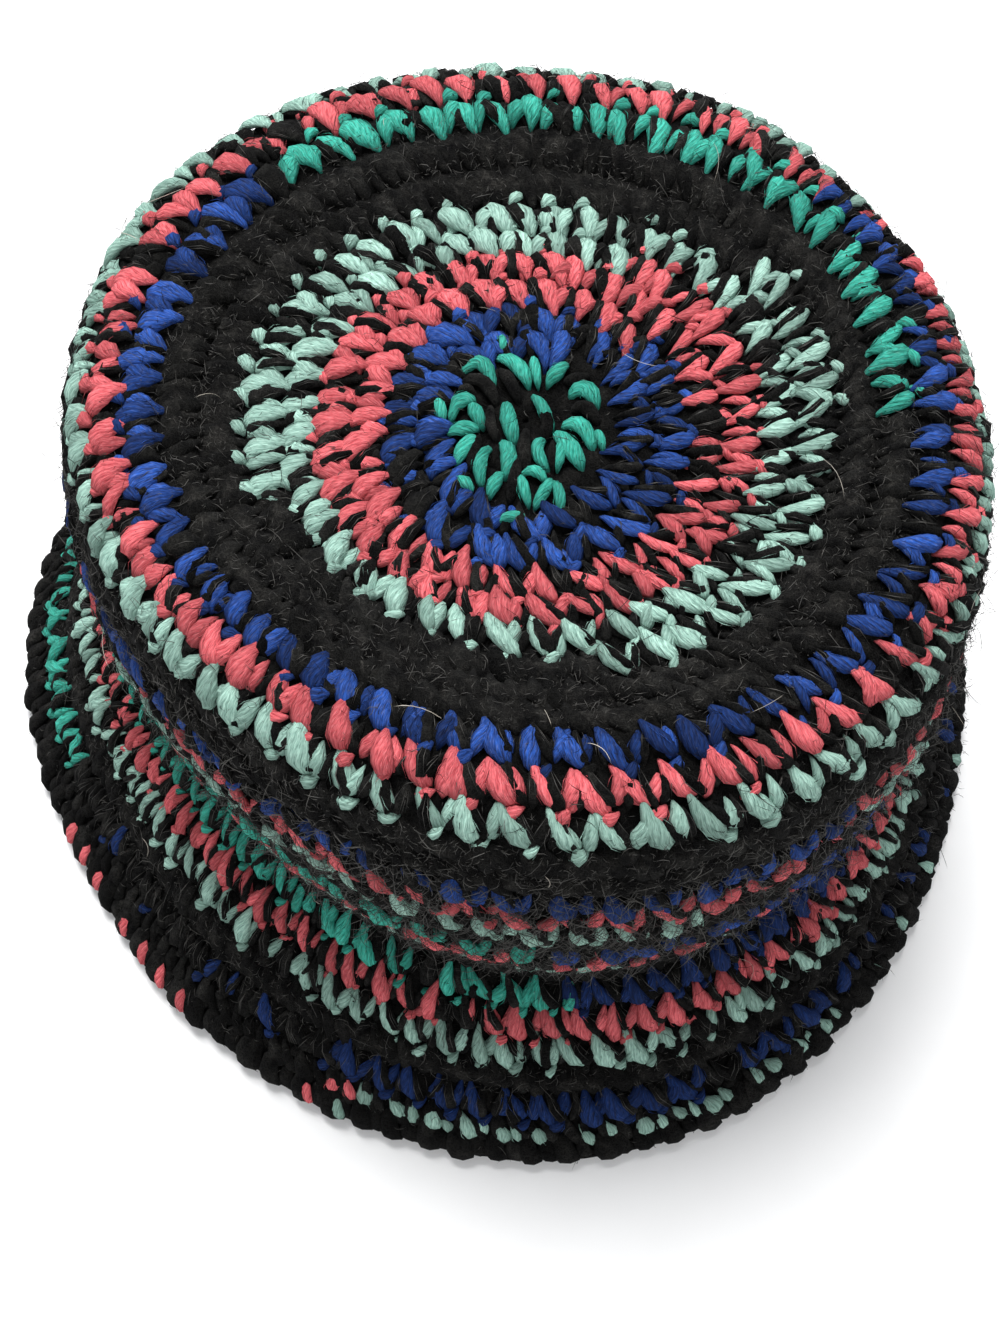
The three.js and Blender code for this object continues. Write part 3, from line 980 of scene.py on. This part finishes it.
def matted_paint(name, deep, fair, low, high):
    """Brushed black yarn: fine fibres lying every way over a dark mass, their lighter grey-brown a
    painted sheen where light catches them.
    """
    shine = {"Specular IOR Level": 0.04, "Sheen Weight": 0.02, "Sheen Roughness": 0.5}
    paint = Paint(name, {"Roughness": 1.0, **shine})
    place_in = paint.node("TexCoord", {}).outputs["Object"]
    lines = None
    # Painted sheen: the fibre lines are lighter grey-brown, where light catches the black fibres
    for stretch in ((1, 0.3, 0.3), (0.3, 1, 0.3), (0.3, 0.3, 1), (1, 1, 0.25)):
        more = fibre_lines(paint, place_in, stretch, 1500.0, 0.03)
        lines = more if lines is None else combine(paint, "MAXIMUM", lines, more)
    patches = noise(paint, place_in, 260.0, 4.0)
    amount = combine(paint, "MULTIPLY", lines, remap(paint, patches, 0.38, 0.66, 0.15, 1.0))
    amount = combine(paint, "MULTIPLY", amount, 0.75)
    share = combine(paint, "ADD", amount, remap(paint, patches, 0.3, 0.8, 0, 0.35))
    colour = mix_colours(paint, share, (*deep, 1), (*fair, 1))
    colour_by_tone(paint, colour, low, high)
    height = combine(paint, "ADD", combine(paint, "MULTIPLY", lines, 0.5), patches)
    paint.bump(height, MATTED_BUMP)
    return paint.material


def hair_paint(name, deep, fair):
    """Loose hairs, each of a slightly different grey along its length."""
    paint = Paint(name, {"Roughness": 0.6})
    strand = paint.node("UVMap", {}, uv_map="Strand").outputs["UV"]
    share = noise(paint, strand, 0.3, 1.0, "2D")
    colour = mix_colours(paint, share, (*deep, 1), (*fair, 1))
    colour_by_tone(paint, colour, 0.5, 1.3)
    return paint.material


def floor_paint():
    """A plain pale studio floor, with the faintest grain."""
    paint = Paint("pale_floor", {"Roughness": 0.9})
    grain = noise(paint, paint.node("TexCoord", {}).outputs["Object"], 60.0, 2.0)
    colour = mix_colours(paint, grain, (0.86, 0.86, 0.86, 1), (0.9, 0.9, 0.9, 1))
    paint.link(colour, "Base Color")
    return paint.material


# Deep and fair tones in linear RGB, then a coloured yarn's sheen, fuzz and dimness, or the black one's
# darkest and brightest
YARN_PAINTS = {
    "teal": yarn_paint("teal_yarn", (0.01, 0.18, 0.125), (0.055, 0.52, 0.4), 0.15, 0.1),
    "coral": yarn_paint("coral_yarn", (0.44, 0.044, 0.058), (0.86, 0.172, 0.19), 0.15, 0.12, 0.6),
    "blue": yarn_paint("blue_yarn", (0.006, 0.018, 0.09), (0.022, 0.1, 0.46), 0.1, 0.08, 0.24),
    "mint": yarn_paint("mint_yarn", (0.155, 0.29, 0.24), (0.44, 0.7, 0.59), 0.15, 0.14, 0.6),
    # The black yarn's fair tone is its fibres' painted sheen
    "black": matted_paint("black_yarn", (0.001, 0.001, 0.0013), (0.034, 0.033, 0.03), 0.2, 1.15),
}
# The matted ground's fair tone is also its fibres' painted sheen
GROUND_PAINT = matted_paint(
    "matted_black_yarn", (0.0012, 0.0012, 0.0015), (0.042, 0.04, 0.036), 0.05, 1.1,
)
# The fuzz's grey is a painted sheen on the black yarn's fibres
FUZZ_PAINT = hair_paint("black_fuzz", (0.015, 0.0145, 0.013), (0.08, 0.076, 0.068))
STRAY_PAINT = hair_paint("pale_hair", (0.3, 0.26, 0.2), (0.75, 0.7, 0.62))


# ---- making the pieces


def add_object(name, data):
    """A new object in the scene."""
    made = bpy.data.objects.new(name, data)
    bpy.context.scene.collection.objects.link(made)
    return made


def make_piece(name, material, points, faces, tone, uv=None):
    """One mesh from arrays, in the part's frame and in metres, with nothing under the floor."""
    corners = (points + TOP_MIDDLE) * MM
    corners[:, 2] = np.maximum(corners[:, 2], 0)
    mesh = bpy.data.meshes.new(name)
    mesh.vertices.add(len(corners))
    mesh.vertices.foreach_set("co", corners.astype(np.float32).ravel())
    mesh.loops.add(faces.size)
    mesh.loops.foreach_set("vertex_index", faces.astype(np.int32).ravel())
    mesh.polygons.add(len(faces))
    mesh.polygons.foreach_set("loop_start", np.arange(0, faces.size, 3, dtype=np.int32))
    mesh.polygons.foreach_set("use_smooth", np.ones(len(faces), bool))
    if uv is not None:
        layer = mesh.uv_layers.new(name="Strand")
        layer.data.foreach_set("uv", uv.astype(np.float32).ravel())
    layer = mesh.attributes.new("tone", "FLOAT", "POINT")
    layer.data.foreach_set("value", tone.astype(np.float32))
    mesh.materials.append(material)
    mesh.update()
    piece = add_object(name, mesh)
    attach(piece, "root")
    return piece


def join(batches, chosen):
    """The chosen strands of every batch as one set of points, triangles, tones and UVs."""
    points, faces, tone, uv = [], [], [], []
    first = 0
    for batch, picked in zip(batches, chosen):
        some = batch["points"][picked]
        count, corners = some.shape[:2]
        points.append(some.reshape(-1, 3))
        base = first + corners * np.arange(count)[:, None, None]
        faces.append((batch["faces"][None] + base).reshape(-1, 3))
        uv.append(batch["uv"][picked].reshape(-1, 2))
        tone.append(np.repeat(batch["tone"][picked], corners))
        first += count * corners
    return [np.concatenate(arrays) for arrays in (points, faces, tone, uv)]


def make_strand_pieces():
    """One piece of each yarn colour in each region of the hat."""
    for region, region_name in enumerate(REGION_NAMES):
        for colour, yarn in enumerate([*YARNS, "fuzz"]):
            chosen = [(b["region"] == region) & (b["colour"] == colour) for b in strands]
            if not any(picked.any() for picked in chosen):
                continue
            arrays = join(strands, chosen)
            if colour == FUZZ:
                piece = make_piece(f"{region_name}_fuzz", FUZZ_PAINT, *arrays)
            else:
                piece = make_piece(f"{region_name}_{yarn}_stitches", YARN_PAINTS[yarn], *arrays)


def make_grounds():
    """The matted ground of each region, in place of the CAD's plain solid."""
    for region, region_name in enumerate(REGION_NAMES):
        piece = make_piece(f"{region_name}_ground", GROUND_PAINT, *ground(region))
        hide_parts(region_name)


# ---- the studio

CAMERA_BACK = 190.8  # from the middle of the top towards the viewer, in mm
CAMERA_UP = 256.9
CAMERA_TILT = 26.93  # degrees up from looking straight down
CAMERA_TURN = 0.98  # degrees to the left
LENS = 40.5
FLOOR_HALF = 8.0  # half the floor's width, in metres
LAMP_AIM = (0, 0, 0.08)  # the middle of the hat
AIR_COLOUR = (0.95, 0.97, 1.0, 1)
AIR_STRENGTH = 0.42


def make_camera():
    """The camera, high in front of the hat."""
    camera = bpy.data.cameras.new("camera")
    camera.lens = LENS
    camera.clip_start = 0.01
    camera.clip_end = 50
    viewer = add_object("camera", camera)
    viewer.location = (TOP_MIDDLE + np.array([0, -CAMERA_BACK, CAMERA_UP])) * MM
    viewer.rotation_mode = "ZYX"
    viewer.rotation_euler = (math.radians(CAMERA_TILT), math.radians(CAMERA_TURN), 0)
    bpy.context.scene.camera = viewer


def make_lamp(name, location, size, power):
    """A square soft lamp, turned to light the middle of the hat."""
    light = bpy.data.lights.new(name, "AREA")
    light.size = size
    light.energy = power
    lamp = add_object(name, light)
    lamp.location = location
    direction = np.array(LAMP_AIM) - np.array(location)
    level = math.hypot(direction[0], direction[1])
    lamp.rotation_euler = (math.atan2(level, -direction[2]), 0, math.atan2(-direction[0], direction[1]))


def make_studio():
    """A pale floor, a soft lamp overhead behind the hat, a weaker one in front, and pale air."""
    corners = np.array([(-1, -1, 0), (1, -1, 0), (1, 1, 0), (-1, 1, 0)]) * FLOOR_HALF
    mesh = bpy.data.meshes.new("floor")
    mesh.from_pydata(corners.tolist(), [], [(0, 1, 2, 3)])
    mesh.materials.append(floor_paint())
    floor = add_object("floor", mesh)
    make_lamp("key_lamp", (-0.1, 0.45, 1.1), size=0.6, power=22.5)
    make_lamp("fill_lamp", (0.2, -0.9, 0.8), size=0.9, power=5.0)
    world = bpy.data.worlds.new("studio_air")
    world.use_nodes = True
    air = world.node_tree.nodes["Background"]
    air.inputs["Color"].default_value = AIR_COLOUR
    air.inputs["Strength"].default_value = AIR_STRENGTH
    bpy.context.scene.world = world
    bpy.context.scene.view_settings.view_transform = "Standard"


make_camera()
make_studio()
right_side()
first_stitches()
wrong_side()
edging()
fuzz()
haze()
loose = stray_hairs()
make_grounds()
make_strand_pieces()
hairs = make_piece("stray_hairs", STRAY_PAINT, *join([loose], [slice(None)]))
